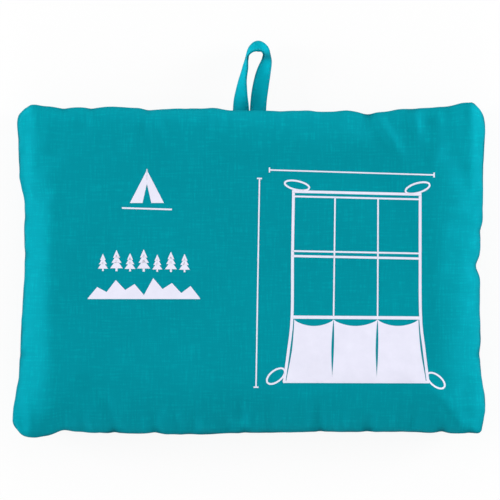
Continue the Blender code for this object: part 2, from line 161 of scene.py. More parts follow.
def wovenCloth(name, spec):
    # crossing threads over a cloth's own UV, which is measured in metres
    material, tree, shader = newMaterial(name)
    uv = addNode(tree, "ShaderNodeUVMap", {"uv_map": "cloth"}).outputs["UV"]
    weft = threadNoise(tree, uv, spec["slubLength"], spec["slub"])
    warp = threadNoise(tree, uv, spec["slub"], spec["slubLength"])
    slubs = addNode(tree, "ShaderNodeMath", {"operation": "ADD"}, {0: weft, 1: warp})
    yarns = crossedYarns(tree, uv, spec)
    base, _ = cloudyColour(tree, uv, spec, 4.0, 0.6)
    share = addNode(tree, "ShaderNodeMapRange", None,
                    {"Value": slubs.outputs[0], "From Min": spec["slubRange"][0],
                     "From Max": spec["slubRange"][1], "To Min": 0.0, "To Max": spec["slubTint"]})
    colour = mixColour(tree, share.outputs[0], base, linearColour(spec["slubColour"]))
    # painted shade: drawn into the seam, the cloth is creased, and the shade of that crease is painted into
    # its colour where the seamShade attribute is high
    seamShadeNode = addNode(tree, "ShaderNodeAttribute", {"attribute_name": "seamShade"})
    paintedCreaseShade = addNode(tree, "ShaderNodeMath", {"operation": "MULTIPLY"},
                      {0: seamShadeNode.outputs["Fac"], 1: spec["creaseShadeTint"]})
    colour = mixColour(tree, paintedCreaseShade.outputs[0], colour, linearColour(spec["creaseShadeColour"]))
    yarnBump = addNode(tree, "ShaderNodeBump", None,
                       {"Height": yarns, "Strength": spec["yarnBump"], "Distance": spec["yarn"] / 4})
    slubBump = addNode(tree, "ShaderNodeBump", None,
                       {"Height": slubs.outputs[0], "Strength": spec["slubBump"],
                        "Distance": spec["slubDepth"], "Normal": yarnBump.outputs[0]})
    feed(tree, shader, {"Base Color": colour, "Normal": slubBump.outputs[0], "Roughness": spec["roughness"],
                        "IOR": spec["ior"], "Specular IOR Level": spec["specular"],
                        "Sheen Weight": spec["sheen"], "Sheen Roughness": spec["sheenRoughness"],
                        "Sheen Tint": linearColour(spec["sheenTint"])})
    return material


# polyester, plain woven and dyed: matt, with slubs in both thread directions and a slight sheen
pouchWeave = {
    "dark": "#008594", "light": "#0092A1", "slubColour": "#00A8B4",
    "yarn": 0.9 * mm,  # real yarns lie 0.3 mm apart, drawn coarser so that they show
    "wander": 0.6, "wanderScale": 2.0, "yarnBump": 0.15,
    "slub": 1.3 * mm, "slubLength": 16 * mm, "slubRange": (1.0, 1.45), "slubTint": 0.55,
    "slubBump": 0.35, "slubDepth": 0.15 * mm, "cloud": 70 * mm,
    # painted shade of the seam's crease: its colour, and how far the seamShade attribute darkens the cloth
    # towards it
    "creaseShadeColour": "#00505C", "creaseShadeTint": 0.95,
    # loose fibres scatter the light, so the cloth shines less than solid polyester
    "roughness": 0.85, "ior": 1.3, "specular": 0.06,
    "sheen": 0.02, "sheenRoughness": 0.4, "sheenTint": "#19C9DA",
}

# the loop's strip is the same cloth, folded on itself, with its colours painted lighter than the pouch's:
# painted light that makes up for the shade the pouch throws on the loop
lightenedLoopWeave = dict(pouchWeave, dark="#008EA0", light="#00A2B4", slubColour="#00AEBC", slub=1.0 * mm,
                   slubLength=9 * mm, cloud=12 * mm)

# zip tape: polyester, woven dense and flat
zipWeave = dict(pouchWeave, dark="#0B5660", light="#0E6973", slubColour="#1A7F8A", yarn=0.8 * mm,
                slub=0.8 * mm, slubLength=6 * mm, cloud=20 * mm, roughness=0.75, sheen=0.03)


def objectWeave(name, spec):
    # the same crossing yarns for pieces without a UV, read from the place in the object
    material, tree, shader = newMaterial(name)
    place = addNode(tree, "ShaderNodeTexCoord").outputs["Object"]
    weave = crossedYarns(tree, place, dict(plainYarns, yarn=spec["yarn"]))
    cloudy = addNode(tree, "ShaderNodeTexNoise", None,
                     {"Vector": place, "Scale": 1 / spec["cloud"], "Detail": 5.0, "Roughness": 0.6})
    blend = addNode(tree, "ShaderNodeMath", {"operation": "MULTIPLY_ADD"},
                    {0: weave, 1: spec["weaveTint"], 2: cloudy.outputs["Fac"]})
    colour = mixColour(tree, blend.outputs[0], linearColour(spec["dark"]), linearColour(spec["light"]))
    bump = addNode(tree, "ShaderNodeBump", None,
                   {"Height": weave, "Strength": spec["bump"], "Distance": spec["depth"]})
    feed(tree, shader, {"Base Color": colour, "Normal": bump.outputs[0], "Roughness": spec["roughness"],
                        "Specular IOR Level": spec["specular"]})
    return material


plainYarns = {"wander": 0.5, "wanderScale": 1.0}

# screen-printed ink: a thin matt white film that lets the weave's relief through
screenInk = {"dark": "#DDDDEE", "light": "#EDECFC", "yarn": 0.9 * mm, "cloud": 9 * mm, "weaveTint": 0.1,
             "bump": 0.12, "depth": 0.06 * mm, "roughness": 0.7, "specular": 0.2}

# polyester sewing thread, twisted: a little lighter and glossier than the cloth
sewingThread = {"dark": "#007A88", "light": "#0FA0AF", "yarn": 0.5 * mm, "cloud": 3 * mm, "weaveTint": 0.3,
                "bump": 0.3, "depth": 0.05 * mm, "roughness": 0.5, "specular": 0.4}

# the organizer's own cloths, polyester, plain woven: a dark backing and teal pockets
backingWeave = {"dark": "#20252C", "light": "#2B323C", "yarn": 1.2 * mm, "cloud": 40 * mm, "weaveTint": 0.3,
                "bump": 0.3, "depth": 0.1 * mm, "roughness": 0.75, "specular": 0.2}
pocketWeave = dict(backingWeave, dark="#007E8D", light="#008D9C")

# binding tape: polyester, woven in a dense plain weave
bindingWeave = {"dark": "#101317", "light": "#1D2228", "yarn": 1.0 * mm, "cloud": 12 * mm, "weaveTint": 0.3,
                "bump": 0.3, "depth": 0.1 * mm, "roughness": 0.8, "specular": 0.25}


def extrudedNylon(spec):
    # extruded nylon thread set into a coil: smooth, half gloss, with a cloudy surface
    material, tree, shader = newMaterial("extrudedNylonCoil")
    place = addNode(tree, "ShaderNodeTexCoord").outputs["Object"]
    colour, cloudy = cloudyColour(tree, place, spec, 3.0, 0.5)
    rough = addNode(tree, "ShaderNodeMapRange", None,
                    {"Value": cloudy, "To Min": spec["smooth"], "To Max": spec["rough"]})
    feed(tree, shader, {"Base Color": colour, "Roughness": rough.outputs[0], "IOR": spec["ior"]})
    return material


nylon = {"dark": "#0C4A53", "light": "#14606A", "cloud": 4 * mm, "smooth": 0.3, "rough": 0.5, "ior": 1.53}


def castZinc(spec):
    # die-cast zinc alloy, tumbled and nickel plated: grey, softly mottled, finely scratched
    material, tree, shader = newMaterial("tumbledZincAlloy")
    place = addNode(tree, "ShaderNodeTexCoord").outputs["Object"]
    colour, _ = cloudyColour(tree, place, spec, 6.0, 0.65)
    stretched = addNode(tree, "ShaderNodeMapping", None,
                        {"Vector": place, "Scale": (1, spec["scratchStretch"], spec["scratchStretch"])})
    scratches = addNode(tree, "ShaderNodeTexNoise", None,
                        {"Vector": stretched.outputs[0], "Scale": 1 / spec["scratch"], "Detail": 3.0})
    rough = addNode(tree, "ShaderNodeMapRange", None,
                    {"Value": scratches.outputs["Fac"], "To Min": spec["smooth"], "To Max": spec["rough"]})
    bump = addNode(tree, "ShaderNodeBump", None,
                   {"Height": scratches.outputs["Fac"], "Strength": spec["bump"],
                    "Distance": spec["depth"]})
    feed(tree, shader, {"Base Color": colour, "Roughness": rough.outputs[0], "Normal": bump.outputs[0],
                        "Metallic": 1.0})
    return material


zinc = {"dark": "#6E7276", "light": "#9A9EA2", "cloud": 3 * mm, "scratch": 9 * mm, "scratchStretch": 14,
        "bump": 0.15, "depth": 0.05 * mm, "smooth": 0.28, "rough": 0.5}


# the pouch: two cloth panels round the folded sheet, drawn from the CAD panels' boxes

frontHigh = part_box("pouch_front_panel")[1]
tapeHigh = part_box("zip_tape_upper")[1]

pouch = {
    "earLength": 8 * mm,
    "earHeight": 6 * mm,
    "cornerTrim": 2.6 * mm,
    # right, top: how far along the end and up the side each corner is rounded
    "cornerRounds": {(False, True): (16 * mm, 16 * mm), (True, True): (18 * mm, 20 * mm),
                     (False, False): (10 * mm, 12.5 * mm), (True, False): (2.5 * mm, 2.5 * mm)},
    "crownDrop": 5 * mm,
    # how far in from the seam the painted seam shade reaches
    "seamShade": 14 * mm,
    "frontEndShoulder": 27 * mm,
    "frontSideShoulder": 24 * mm,
    "backShoulder": 10.2 * mm,
    "flankShare": 0.4,  # how much of a shoulder the flat cloth has beyond its frame
    "seamPull": 8,  # the higher, the closer to the seam its line still moves the cloth
    "seamLevel": 19 * mm,
    "seamGap": 0.3 * mm,
    "zipLift": 6 * mm,
    "zipLiftSpan": (0.3, 0.9),
    "zipBlend": 5 * mm,
    "lip": 1.2 * mm,
    "lipStart": 0.966,
    "cell": 3.1 * mm,
    "cloth": 0.7 * mm,
}
halfLength = frontHigh.x - pouch["earLength"] + pouch["cornerTrim"]
halfHeight = frontHigh.y - pouch["earHeight"] + pouch["cornerTrim"]
crownLevel = frontHigh.z
zipHalfLength = tapeHigh.x
zipRim = tapeHigh.y + pouch["lip"]

# the seam as the photograph shows it, in mm: a place along the side, then how far out it lies
seamLine = {
    "left": [(-116, 164.4), (-103, 166.0), (-95, 165.0), (-84, 163.4), (-73, 161.2), (-45, 160.0),
             (-17, 158.4), (-5, 157.5), (11, 157.3), (28, 157.7), (39, 157.3), (50, 157.5), (58, 159.4),
             (67, 161.0), (89, 161.6), (100, 162.5), (109, 163.6), (116, 162.8)],
    "right": [(-116, 159.6), (-108, 160.6), (-102, 161.9), (-94, 163.0), (-87, 162.4), (-73, 160.2),
              (-64, 159.4), (-58, 159.0), (-50, 159.6), (-17, 159.0), (-3, 159.4), (5, 160.2), (11, 159.4),
              (25, 159.4), (36, 161.0), (67, 161.4), (102, 163.0), (109, 163.6), (116, 163.6)],
    "top": [(-166, 116.2), (-152, 116.8), (-144, 115.3), (-129, 113.7), (-120, 114.5), (-110, 113.9),
            (-100, 115.2), (-80, 114.6), (-69, 113.2), (-60, 113.8), (-42, 114.3), (-25, 114.6), (-16, 113.2),
            (20, 112.6), (36, 112.9), (52, 111.9), (67, 112.6), (81, 110.3), (90, 111.4), (106, 113.3),
            (121, 113.7), (138, 115.3), (145, 117.1), (151, 118.5), (164, 118.5)],
    "bottom": [(-166, 115.6), (-148, 115.8), (-142, 115.0), (-130, 110.8), (-120, 112.1), (-99, 112.9),
               (-78, 113.4), (-66, 112.8), (-60, 113.8), (-28, 113.8), (-16, 113.0), (20, 112.6),
               (49, 111.9), (72, 112.1), (110, 112.0), (124, 112.8), (132, 112.3), (140, 113.2),
               (163, 113.2)],
}

# small nicks where a gather is caught in the seam: place and depth, in mm
seamNicks = {
    "left": [(11, 0.5), (36, 0.5), (-58, 0.6)],
    "right": [(-58, 0.7), (28, 0.4)],
    "top": [(-129, 0.5), (-110, 0.7), (-72, 0.5), (81, 1.0), (112, 0.7), (135, 0.5)],
    "bottom": [(-95, 1.1), (-66, 0.6), (-4, 0.8), (48, 0.8), (81, 0.9), (132, 1.0), (152, 0.6)],
}
# how wide a nick is, and how wide, how far in and how dark the painted shade of its gather is, in mm but the
# dark
nickShape = {"width": 2.0, "shadeWidth": 3.2, "shadeReach": 10, "dark": 0.85}
seamUneven = {"height": 0.3, "pitch": 5}  # mm


def smoothStep(low, high, value):
    share = min(1.0, max(0.0, (value - low) / (high - low)))
    return share * share * (3 - 2 * share)


def endOf(x):
    return "right" if x > 0 else "left"


def sideOf(y):
    return "top" if y > 0 else "bottom"


def seamPlace(side, place):
    rows = seamLine[side]
    value = place / mm
    for (low, lowOut), (high, highOut) in zip(rows, rows[1:]):
        if value <= high:
            out = lowOut + (highOut - lowOut) * smoothStep(low, high, value)
            out += seamUneven["height"] * noise.noise(Vector((value / seamUneven["pitch"], len(side), 0.5)))
            for nick, depth in seamNicks[side]:
                out -= depth * math.exp(-((value - nick) / nickShape["width"]) ** 2)
            return mm * out
    return mm * rows[-1][1]


def paintedNickShade(x, y, toEnd, toSide):
    # painted shade of the gathers at the nicks: 0 away from the nicks, and most at the seam where a deep one
    # lies
    dark = 0.0
    for side, place, toSeam in ((endOf(x), y, toEnd), (sideOf(y), x, toSide)):
        for nick, depth in seamNicks[side]:
            near = math.exp(-((place / mm - nick) / nickShape["shadeWidth"]) ** 2)
            dark += depth * near * math.exp(-(toSeam / mm / nickShape["shadeReach"]) ** 2)
    return nickShape["dark"] * dark


def alongZip(x, end=zipHalfLength):
    return 1 - smoothStep(end, end + pouch["zipBlend"], abs(x))


def roundedSide(place, width, half, flatShare):
    # flat across the middle, then a quarter round down to the seam
    start = 1 - width / half
    if abs(place) <= flatShare:
        return start * place / flatShare, 1.0
    angle = (abs(place) - flatShare) / (1 - flatShare) * quarterTurn
    return math.copysign(start + (1 - start) * math.sin(angle), place), math.cos(angle)


def seamPoint(across, up):
    # the middle of the panel keeps its place, and its outer parts follow the seam
    x = across * halfLength
    y = up * halfHeight
    out = seamPlace(endOf(across), y) - halfLength
    x += out * across * abs(across) ** pouch["seamPull"]
    out = seamPlace(sideOf(up), x) - halfHeight
    y += out * up * abs(up) ** pouch["seamPull"]
    # each corner is drawn in to a round, its sides' share of the way to the corner being u and v
    roundAcross, roundUp = pouch["cornerRounds"][(across > 0, up > 0)]
    endLine = seamPlace(endOf(across), y)
    sideLine = seamPlace(sideOf(up), x)
    u = 1 - (endLine - abs(x)) / roundAcross
    v = 1 - (sideLine - abs(y)) / roundUp
    if u > 0 and v > 0:
        x = math.copysign(endLine - roundAcross * (1 - u * math.sqrt(1 - v * v / 2)), across)
        y = math.copysign(sideLine - roundUp * (1 - v * math.sqrt(1 - u * u / 2)), up)
    return x, y


def clothGrid(length, height, columns, rows):
    # a grid from -1 to 1 both ways, with the flat cloth's own size as its UV
    shape = bmesh.new()
    bmesh.ops.create_grid(shape, x_segments=columns, y_segments=rows, size=1)
    uvLayer = shape.loops.layers.uv.new("cloth")
    for face in shape.faces:
        for loop in face.loops:
            loop[uvLayer].uv = (loop.vert.co.x * length / 2, loop.vert.co.y * height / 2)
    return shape


def flatSize(endShoulder, sideShoulder):
    # laid flat, a panel is larger than its frame, because its cloth runs down the flanks
    return (2 * halfLength + 2 * pouch["flankShare"] * endShoulder,
            2 * halfHeight + 2 * pouch["flankShare"] * sideShoulder)


def panelShape(side, endShoulder, sideShoulder, level, drop):
    # a fine grid of flat cloth, drawn out to the panel's outer face
    flatLength, flatHeight = (size / 2 for size in flatSize(endShoulder, sideShoulder))
    endShare = (halfLength - endShoulder) / flatLength
    sideShare = (halfHeight - sideShoulder) / flatHeight
    shape = clothGrid(2 * flatLength, 2 * flatHeight, round(2 * flatLength / pouch["cell"]),
                      round(2 * flatHeight / pouch["cell"]))
    shade = shape.verts.layers.float.new("seamShade")
    rim = 0.9999  # the outermost vertices of the grid, which the seam holds
    for vert in shape.verts:
        toEnd = (1 - abs(vert.co.x)) * flatLength
        toSide = (1 - abs(vert.co.y)) * flatHeight
        sewn = max(abs(vert.co.x), abs(vert.co.y)) > rim
        lip = smoothStep(pouch["lipStart"], 1, vert.co.y) ** 2
        across, endRise = roundedSide(vert.co.x, endShoulder, halfLength, endShare)
        up, sideRise = roundedSide(vert.co.y, sideShoulder, halfHeight, sideShare)
        x, y = seamPoint(across, up)
        # painted shade: the cloth's colour darkens towards the seam, where it curves under, and where a
        # gather is caught at a nick
        seamed = max(0, 1 - min(toEnd, toSide) / pouch["seamShade"]) ** 2
        vert[shade] = min(1, seamed + paintedNickShade(x, y, toEnd, toSide))
        y += (zipRim - y) * alongZip(x, zipHalfLength - pouch["zipBlend"]) * lip
        lift = pouch["zipLift"] * alongZip(x) * smoothStep(*pouch["zipLiftSpan"], up)
        foot = pouch["seamLevel"] + side * (pouch["seamGap"] / 2 + lift)
        top = level - drop * (across ** 2 + up ** 2) / 2
        vert.co = (x, y, foot if sewn else foot + (top - foot) * endRise * sideRise)
    if side < 0:
        bmesh.ops.reverse_faces(shape, faces=shape.faces)
    return shape


def addPiece(name, shape, material, body="pouch"):
    mesh = bpy.data.meshes.new(name)
    shape.to_mesh(mesh)
    shape.free()
    mesh.shade_smooth()
    mesh.materials.append(material)
    piece = addObject(name, mesh)
    if body:
        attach(piece, body)
    return piece


# folds that the photograph shows: from and to in its pixels, then width and height in mm
folds = [
    ((376, 113), (402, 158), 3.2, 3.6), ((412, 108), (418, 137), 2.4, 3.2),
    ((441, 138), (429, 168), 4.0, 1.9), ((143, 110), (166, 148), 4.5, 2.0),
    ((217, 112), (217, 142), 4.0, 1.3), ((300, 112), (296, 150), 5.0, 0.9),
    ((212, 180), (213, 270), 11, 1.0), ((425, 385), (474, 436), 5.5, 2.8),
    ((46, 118), (48, 425), 8.0, 1.8), ((27, 112), (25, 205), 3.5, -1.8),
    ((24, 196), (60, 214), 4.0, 1.3), ((432, 200), (437, 390), 9.0, 1.2),
    ((475, 262), (440, 270), 4.0, -1.2), ((90, 430), (86, 412), 3.5, 1.7),
    ((160, 433), (158, 414), 4.0, 1.7), ((206, 432), (204, 416), 3.0, 1.6),
    ((250, 432), (252, 412), 4.0, 1.7), ((297, 432), (296, 414), 3.5, 1.6),
    ((340, 431), (338, 412), 4.0, 1.7), ((386, 432), (390, 414), 3.5, 1.7),
    ((44, 434), (52, 416), 3.0, -1.8), ((74, 431), (90, 426), 2.6, -1.6),
    ((104, 432), (122, 424), 2.8, -1.5), ((182, 433), (180, 420), 3.0, -1.3),
    ((228, 432), (231, 418), 3.0, -1.4), ((270, 432), (268, 420), 3.0, -1.3),
    ((318, 431), (315, 417), 3.0, -1.4), ((364, 431), (362, 418), 3.0, -1.5),
    ((412, 431), (417, 416), 3.0, -1.5),
]
foldTaper = {"start": 0.12, "span": 0.82}


def foldHeight(x, y):
    height = 0.0
    here = Vector((x, y))
    for start, end, width, rise in folds:
        width *= mm
        first = Vector(photoPlace(*start, crownLevel))
        along = Vector(photoPlace(*end, crownLevel)) - first
        share = min(1.0, max(0.0, (here - first).dot(along) / along.length_squared))
        away = (here - first - along * share).length
        if away < 3 * width:
            taper = math.sin(math.pi * (foldTaper["start"] + foldTaper["span"] * share))
            height += rise * mm * math.exp(-(away / width) ** 2) * taper
    return height


gathers = {"reach": 30 * mm, "height": 2.2 * mm, "pitch": 7 * mm, "slowHeight": 0.8 * mm,
           "slowPitch": 44 * mm, "backShare": 0.8}


def gatherHeight(x, y, side):
    # gathers start at the seam and die out inwards, and a slow unevenness lies over the rest
    nearEnd = smoothStep(halfLength - gathers["reach"], halfLength, abs(x))
    nearSide = smoothStep(halfHeight - gathers["reach"], halfHeight, abs(y))
    alongEnd = noise.noise(Vector((y / gathers["pitch"], side * 3.1, math.copysign(1, x))))
    alongSide = noise.noise(Vector((x / gathers["pitch"], side * 5.7, math.copysign(2, y))))
    slow = noise.noise(Vector((x / gathers["slowPitch"], y / gathers["slowPitch"], side * 1.7)))
    gather = gathers["height"] * (alongEnd * nearEnd + alongSide * nearSide)
    return gather + gathers["slowHeight"] * slow


# one tuck in the right seam draws the flank in with it
pinch = {"depth": 4.2 * mm, "place": 3.5 * mm, "width": 5 * mm, "reach": 16 * mm}

# how far from the seam and from the ground the cloth is free to fold, and how its flanks pucker
flank = {"frontFree": 6 * mm, "backRim": 4 * mm, "backGround": (0.2 * mm, 5 * mm),
         "pucker": 0.5, "pitchAlong": 9, "pitchUp": 14}


def layFolds(piece, side, strength):
    # the sewn rim keeps its place, so the two panels still meet
    for vert in piece.data.vertices:
        x, y, z = vert.co
        pinched = smoothStep(halfLength - pinch["reach"], halfLength, x)
        vert.co.x -= pinch["depth"] * pinched * math.exp(-((y - pinch["place"]) / pinch["width"]) ** 2)
        height = strength * gatherHeight(x, y, side) + (foldHeight(x, y) if side > 0 else 0)
        if side > 0:
            free = smoothStep(pouch["seamLevel"], pouch["seamLevel"] + flank["frontFree"], z)
        else:
            free = smoothStep(*flank["backGround"], z)
            free *= smoothStep(0, flank["backRim"], pouch["seamLevel"] - z)
        vert.co.z += height * free
        # the flanks swell and pucker sideways, where up and down would not show
        if free < 1 and side > 0:
            place = Vector((x / flank["pitchAlong"], y / flank["pitchAlong"], z / flank["pitchUp"])) / mm
            swell = gathers["height"] * flank["pucker"] * noise.noise(place)
            outward = Vector((x / halfLength, y / halfHeight, 0))
            outward.x = math.copysign(abs(outward.x) ** pouch["seamPull"], x)
            outward.y = math.copysign(abs(outward.y) ** pouch["seamPull"], y)
            vert.co += outward * swell * 4 * free * (1 - free)


settling = {
    "frames": 16,
    "cap": 5 * mm,  # no point of the cloth settles further than this
    "gatherEnds": 55 * mm,
    "gatherSides": 45 * mm,
    "cloth": {"quality": 5, "mass": 0.2, "tension_stiffness": 25, "compression_stiffness": 25,
              "shear_stiffness": 8, "bending_stiffness": 1.2, "tension_damping": 15,
              "compression_damping": 15, "shear_damping": 10, "air_damping": 3,
              "vertex_group_mass": "sewn", "vertex_group_shrink": "gathered",
              "shrink_min": -0.004, "shrink_max": -0.03,  # below 0 the cloth is longer than its frame
              "use_pressure": True, "uniform_pressure_force": 1.2},
}


def settleCloth(piece):
    # the rim is sewn, and the cloth, a little longer than its frame, buckles where it is gathered
    mesh = piece.data
    uses = {}
    for polygon in mesh.polygons:
        for key in polygon.edge_keys:
            uses[key] = uses.get(key, 0) + 1
    rim = sorted({index for key, count in uses.items() if count == 1 for index in key})
    sewn = piece.vertex_groups.new(name="sewn")
    sewn.add(rim, 1.0, "REPLACE")
    gathered = piece.vertex_groups.new(name="gathered")
    for vert in mesh.vertices:
        nearEnd = smoothStep(halfLength - settling["gatherEnds"], halfLength, abs(vert.co.x))
        nearSide = smoothStep(halfHeight - settling["gatherSides"], halfHeight, abs(vert.co.y))
        gathered.add([vert.index], max(nearEnd, nearSide), "REPLACE")
    before = [vert.co.copy() for vert in mesh.vertices]
    cloth = piece.modifiers.new("settling", "CLOTH")
    for name, value in settling["cloth"].items():
        setattr(cloth.settings, name, value)
    cloth.settings.effector_weights.gravity = 0
    for number in range(1, settling["frames"] + 1):
        bpy.context.scene.frame_set(number)
    settled = piece.evaluated_get(bpy.context.evaluated_depsgraph_get()).to_mesh()
    after = [vert.co.copy() for vert in settled.vertices]
    piece.modifiers.remove(cloth)
    bpy.context.scene.frame_set(1)
    for vert, start, end in zip(mesh.vertices, before, after):
        move = end - start
        if move.length > settling["cap"]:
            move *= settling["cap"] / move.length
        vert.co = start + move


def giveWall(piece, name, thickness, offset):
    wall = piece.modifiers.new(name, "SOLIDIFY")
    wall.thickness = thickness
    wall.offset = offset


def finishPanel(piece):
    finer = piece.modifiers.new("finerCloth", "SUBSURF")
    finer.levels = 1
    finer.render_levels = 1
    finer.boundary_smooth = "PRESERVE_CORNERS"
    giveWall(piece, "clothThickness", pouch["cloth"], -1)


def buildPouch(cloth):
    front = addPiece("pouchFront", panelShape(1, pouch["frontEndShoulder"], pouch["frontSideShoulder"],
                                              crownLevel, pouch["crownDrop"]), cloth)
    back = addPiece("pouchBack", panelShape(-1, pouch["backShoulder"], pouch["backShoulder"], 0, 0), cloth)
    settleCloth(front)
    layFolds(front, 1, 1.0)
    layFolds(back, -1, gathers["backShare"])
    for piece, node in ((front, "pouch_front_panel"), (back, "pouch_back_panel")):
        finishPanel(piece)
        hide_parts(node)
    print("pouch panels settled and folded")
    return front


# the hang loop: one strip of the pouch's cloth, folded to a tape and stitched down both edges

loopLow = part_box("hang_loop")[0]
hangLoop = {
    "width": 11.3 * mm,
    "thickness": 1.1 * mm,
    "level": 12 * mm,
    "base": loopLow.y - 0.3 * mm,
    "columns": 90,
    "rows": 10,
    "foldedEdge": 0.4 * mm,
    "stitch": 2.6 * mm,
    "stitchShare": 0.72,  # of each stitch, how much thread lies on top
    "stitchInset": 1.5 * mm,
    "stitchWidth": 0.32 * mm,
    "stitchRise": 0.02 * mm,
    "stitchSink": 0.06 * mm,
    "dent": 0.16 * mm,
    "dentWidth": 0.9 * mm,
    "ripple": 0.25 * mm,
    "ripplePitch": (6 * mm, 5 * mm),
    "bend": 16 * mm,
    # painted shade along the tape's two rolled edges
    "edgeShade": 0.4,
    # painted shade where the tape is creased and where its feet go into the seam: the share of its length,
    # how far that reaches, how dark it is
    "creaseShades": [(0.0, 0.02, 0.5), (0.31, 0.025, 0.45), (0.62, 0.05, 0.7), (1.0, 0.02, 0.5)],
    # across and up in mm, and the turn, 90 where the tape lies flat
    "path": [(-7.0, 0, 90), (-7.0, 3.5, 76), (-7.0, 11.5, 50), (-6.0, 21.5, 28), (-4.2, 31, 17),
             (-3.1, 37, 9), (-2.2, 40.6, 8), (0.6, 44.6, 26), (4.7, 46.5, 41), (8.8, 45.0, 33),
             (10.9, 41.4, 23), (11.0, 37.4, 32), (10.3, 33.5, 43), (8.7, 28, 58), (7.3, 21.3, 70),
             (5.7, 11.4, 84), (5.0, 3.5, 90), (4.9, 0, 90)],
}


def curvePoint(points, share):
    # a smooth line through the points
    count = len(points) - 1
    place = min(max(share, 0.0), 1.0) * count
    index = min(int(place), count - 1)
    t = place - index
    a, b, c, d = (Vector(points[min(max(index + k, 0), count)]) for k in (-1, 0, 1, 2))
    return (2 * b + (c - a) * t + (2 * a - 5 * b + 4 * c - d) * t ** 2 + (3 * b - a - 3 * c + d) * t ** 3) / 2


def loopFrame(share):
    # a point on the tape's middle, the way along it, across it and out of its face
    def middle(value):
        across, up, turn = curvePoint(hangLoop["path"], value)
        place = Vector((across * mm, hangLoop["base"] + up * mm, hangLoop["level"]))
        return place, math.radians(turn)
    place, turn = middle(share)
    ahead = (middle(share + 0.004)[0] - middle(share - 0.004)[0]).normalized()
    inward = Vector((ahead.y, -ahead.x, 0))
    across = inward * math.sin(turn) + Vector((0, 0, 1)) * math.cos(turn)
    return place, ahead, across, across.cross(ahead).normalized()


def loopLength():
    places = [loopFrame(step / 200)[0] for step in range(201)]
    return sum((b - a).length for a, b in zip(places, places[1:]))


def buildLoop(cloth, thread):
    length = loopLength()
    half = hangLoop["width"] / 2
    alongPitch, acrossPitch = hangLoop["ripplePitch"]
    shape = clothGrid(length, hangLoop["width"], hangLoop["columns"], hangLoop["rows"])
    shade = shape.verts.layers.float.new("seamShade")
    for vert in shape.verts:
        share = (vert.co.x + 1) / 2
        # painted shade: the tape darkens where it is creased, at its feet in the seam, and along its rolled
        # edges
        paintedCreaseShade = sum(dark * math.exp(-((share - at) / reach) ** 2)
                      for at, reach, dark in hangLoop["creaseShades"])
        atEdge = abs(vert.co.y) ** 6  # 1 at the tape's two edges, soon 0 inwards
        vert[shade] = min(1.0, paintedCreaseShade + hangLoop["edgeShade"] * atEdge)
        place, ahead, across, out = loopFrame(share)
        side = vert.co.y * half
        run = vert.co.x * length / 2
        # each row of stitches draws the tape in, most where its thread dives
        seamed = math.exp(-((abs(side) - half + hangLoop["stitchInset"]) / hangLoop["dentWidth"]) ** 2)
        dent = -hangLoop["dent"] * seamed * (0.6 + 0.4 * math.cos(math.tau * run / hangLoop["stitch"]))
        ripple = hangLoop["ripple"] * noise.noise(Vector((run / alongPitch, side / acrossPitch, 4.2)))
        vert.co = place + across * side + out * (dent + ripple)
    tape = addPiece("hangLoopTape", shape, cloth, None)
    giveWall(tape, "foldedLayers", hangLoop["thickness"], 0)
    rounded = tape.modifiers.new("foldedEdge", "BEVEL")
    rounded.width = hangLoop["foldedEdge"]
    rounded.segments = 3
    rounded.angle_limit = math.radians(50)
    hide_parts("hang_loop")

    shape = bmesh.new()
    count = int(length / hangLoop["stitch"])
    for row in (-1, 1):
        for number in range(count):
            place, ahead, across, out = loopFrame((number + 0.5) / count)
            for face in (-1, 1):
                middle = place + across * row * (half - hangLoop["stitchInset"])
                onFace = face * (hangLoop["thickness"] / 2 + hangLoop["stitchRise"])
                middle += out * (onFace - hangLoop["stitchSink"])
                addStitch(shape, middle, ahead, out)
    stitches = addPiece("hangLoopStitches", shape, thread, None)
    # both legs stay sewn in the seam; the tape and its stitches are baked in place
    for piece in (tape, stitches):
        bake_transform(piece)
    print("hang loop made", round(length / mm), "mm of tape")


def addStitch(shape, middle, ahead, out):
    length = hangLoop["stitch"] * hangLoop["stitchShare"]
    width = hangLoop["stitchWidth"]
    turn = Matrix((ahead, out.cross(ahead), out)).transposed().to_4x4()
    size = Matrix.Diagonal((length / 2, width / 2, width / 2, 1))
    bmesh.ops.create_icosphere(shape, subdivisions=1, radius=1,
                               matrix=Matrix.Translation(middle) @ turn @ size)


# the zip in the top seam: two woven tapes, two coils, and the metal slider, tab and stops

zipParts = {
    "tape": 0.55 * mm,
    "tapeColumns": 150,
    "tapeRows": 14,
    "ridge": 0.14 * mm,  # height of the tape's lengthwise ridges
    "ridgeTurn": 7,  # radians of their wave from its middle to each edge
    "coilPitch": 1.27 * mm,
    "wire": 0.42 * mm,
    "wireSides": 5,
    "turnSteps": 8,
    "castEdge": 0.14 * mm,
    "castSharp": math.radians(40),
}


def pieceName(node):
    first, *rest = node.split("_")
    return first + "".join(word.title() for word in rest)


def buildZipTape(node, cloth):
    low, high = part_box(node)
    length = high.x - low.x
    height = high.z - low.z
    shape = clothGrid(length, height, zipParts["tapeColumns"], zipParts["tapeRows"])
    for vert in shape.verts:
        x = vert.co.x * length / 2
        # the ridges run out just before the tape's ends
        ridge = zipParts["ridge"] * math.cos(vert.co.y * zipParts["ridgeTurn"]) * (1 - abs(vert.co.x) ** 40)
        vert.co = (x, low.y + ridge / 2, low.z + (vert.co.y + 1) / 2 * height)
    tape = addPiece(pieceName(node), shape, cloth)
    giveWall(tape, "tapeThickness", zipParts["tape"], -1)
    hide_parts(node)


